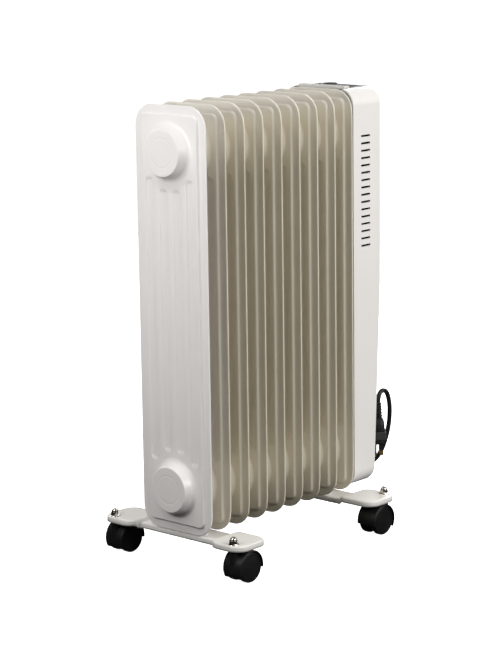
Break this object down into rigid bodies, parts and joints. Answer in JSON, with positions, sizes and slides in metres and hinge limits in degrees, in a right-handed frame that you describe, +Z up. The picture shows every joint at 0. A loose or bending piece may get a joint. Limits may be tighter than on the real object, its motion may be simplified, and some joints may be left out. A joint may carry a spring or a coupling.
{
  "type": "oil filled radiator heater",
  "caption": "Portable oil filled column heater with pressed fins, an end control box, carry handle, mains cord and twin-wheel casters.",
  "frame": {"origin": "centre of the footprint on the floor, under the casters", "axes": "+X along the stack of fins from the end fin to the control housing, +Y across the fins, +Z up"},
  "size_m": [0.4321, 0.256, 0.6326],
  "materials": {
    "fin_enamel": "satin baked enamel",
    "foot_enamel": "satin baked enamel",
    "housing_enamel": "satin baked enamel",
    "galvanised": "galvanised sheet",
    "panel_grey": "fine texture",
    "handle_white": "satin",
    "zinc": "bright zinc plated",
    "element_steel": "drawn tube",
    "seal_rubber": "matte",
    "phenolic": "moulded",
    "brass": "turned",
    "knob_black": "fine texture",
    "lamp_lens": "clear moulded",
    "terminal_white": "moulded",
    "nut_chrome": "polished",
    "caster_black": "moulded nylon",
    "wheel_black": "moulded nylon",
    "cord_black": "satin",
    "tie_black": "woven strap",
    "saddle_black": "moulded",
    "plug_black": "moulded"
  },
  "bodies": {
    "root": {"end_fin": "fin_enamel", "fin_2": "fin_enamel", "fin_3": "fin_enamel", "fin_4": "fin_enamel", "fin_5": "fin_enamel", "fin_6": "fin_enamel", "fin_7": "fin_enamel", "fin_8": "fin_enamel", "fin_9": "fin_enamel", "foot_front": "foot_enamel", "foot_rear": "foot_enamel", "mounting_plate": "galvanised", "control_housing": "housing_enamel", "top_panel": "panel_grey", "carry_handle": "handle_white", "housing_screws": "zinc", "oil_filler_plug": "zinc", "heating_element": "element_steel", "element_seal": "seal_rubber", "thermostat_body": "phenolic", "switch_bodies": "phenolic", "indicator_lamp": "lamp_lens", "terminal_block": "terminal_white", "thermal_cutout": "phenolic", "tilt_switch": "phenolic", "u_bolt_front": "zinc", "u_bolt_rear": "zinc", "wing_nuts": "zinc", "caster_stems": "zinc", "dome_nuts": "nut_chrome", "cord_gland": "cord_black", "cord_hank": "cord_black", "cord_lead": "cord_black", "cord_tail": "cord_black", "cord_tie": "tie_black", "tie_saddle": "saddle_black", "plug_strain_relief": "cord_black", "plug_body": "plug_black", "plug_pins": "brass", "pin_sleeves": "plug_black"},
    "knob": {"thermostat_shaft": "brass", "thermostat_knob": "knob_black"},
    "rocker_1": {"rocker_switch_1": "knob_black"},
    "rocker_2": {"rocker_switch_2": "knob_black"},
    "caster_front_right": {"caster_front_right_hood": "caster_black", "caster_front_right_axle": "zinc"},
    "caster_front_right_wheel_right_body": {"caster_front_right_wheel_right": "wheel_black"},
    "caster_front_right_wheel_left_body": {"caster_front_right_wheel_left": "wheel_black"},
    "caster_front_left": {"caster_front_left_hood": "caster_black", "caster_front_left_axle": "zinc"},
    "caster_front_left_wheel_right_body": {"caster_front_left_wheel_right": "wheel_black"},
    "caster_front_left_wheel_left_body": {"caster_front_left_wheel_left": "wheel_black"},
    "caster_rear_right": {"caster_rear_right_hood": "caster_black", "caster_rear_right_axle": "zinc"},
    "caster_rear_right_wheel_right_body": {"caster_rear_right_wheel_right": "wheel_black"},
    "caster_rear_right_wheel_left_body": {"caster_rear_right_wheel_left": "wheel_black"},
    "caster_rear_left": {"caster_rear_left_hood": "caster_black", "caster_rear_left_axle": "zinc"},
    "caster_rear_left_wheel_right_body": {"caster_rear_left_wheel_right": "wheel_black"},
    "caster_rear_left_wheel_left_body": {"caster_rear_left_wheel_left": "wheel_black"}
  },
  "joints": [
    {"name": "thermostat_turn", "type": "hinge", "parent": "root", "child": "knob", "pos_m": [0.177, 0.016, 0.628], "axis": [0, 0, -1], "range_deg": [0, 280]},
    {"name": "rocker_1_press", "type": "hinge", "parent": "root", "child": "rocker_1", "pos_m": [0.177, -0.008, 0.6245], "axis": [0, -1, 0], "range_deg": [0, 14]},
    {"name": "rocker_2_press", "type": "hinge", "parent": "root", "child": "rocker_2", "pos_m": [0.177, -0.026, 0.6245], "axis": [0, -1, 0], "range_deg": [0, 14]},
    {"name": "caster_front_right_swivel", "type": "hinge", "parent": "root", "child": "caster_front_right", "pos_m": [-0.1845, -0.1104, 0.045], "axis": [0, 0, 1], "continuous": true},
    {"name": "caster_front_right_roll_right", "type": "hinge", "parent": "caster_front_right", "child": "caster_front_right_wheel_right_body", "pos_m": [-0.166, -0.1211, 0.0205], "axis": [0, 1, 0], "continuous": true},
    {"name": "caster_front_right_roll_left", "type": "hinge", "parent": "caster_front_right", "child": "caster_front_right_wheel_left_body", "pos_m": [-0.166, -0.0997, 0.0205], "axis": [0, 1, 0], "continuous": true},
    {"name": "caster_front_left_swivel", "type": "hinge", "parent": "root", "child": "caster_front_left", "pos_m": [-0.1845, 0.1104, 0.045], "axis": [0, 0, 1], "continuous": true},
    {"name": "caster_front_left_roll_right", "type": "hinge", "parent": "caster_front_left", "child": "caster_front_left_wheel_right_body", "pos_m": [-0.166, 0.0997, 0.0205], "axis": [0, 1, 0], "continuous": true},
    {"name": "caster_front_left_roll_left", "type": "hinge", "parent": "caster_front_left", "child": "caster_front_left_wheel_left_body", "pos_m": [-0.166, 0.1211, 0.0205], "axis": [0, 1, 0], "continuous": true},
    {"name": "caster_rear_right_swivel", "type": "hinge", "parent": "root", "child": "caster_rear_right", "pos_m": [0.1384, -0.1104, 0.045], "axis": [0, 0, 1], "continuous": true},
    {"name": "caster_rear_right_roll_right", "type": "hinge", "parent": "caster_rear_right", "child": "caster_rear_right_wheel_right_body", "pos_m": [0.1199, -0.1211, 0.0205], "axis": [0, 1, 0], "continuous": true},
    {"name": "caster_rear_right_roll_left", "type": "hinge", "parent": "caster_rear_right", "child": "caster_rear_right_wheel_left_body", "pos_m": [0.1199, -0.0997, 0.0205], "axis": [0, 1, 0], "continuous": true},
    {"name": "caster_rear_left_swivel", "type": "hinge", "parent": "root", "child": "caster_rear_left", "pos_m": [0.1384, 0.1104, 0.045], "axis": [0, 0, 1], "continuous": true},
    {"name": "caster_rear_left_roll_right", "type": "hinge", "parent": "caster_rear_left", "child": "caster_rear_left_wheel_right_body", "pos_m": [0.1199, 0.0997, 0.0205], "axis": [0, 1, 0], "continuous": true},
    {"name": "caster_rear_left_roll_left", "type": "hinge", "parent": "caster_rear_left", "child": "caster_rear_left_wheel_left_body", "pos_m": [0.1199, 0.1211, 0.0205], "axis": [0, 1, 0], "continuous": true}
  ]
}
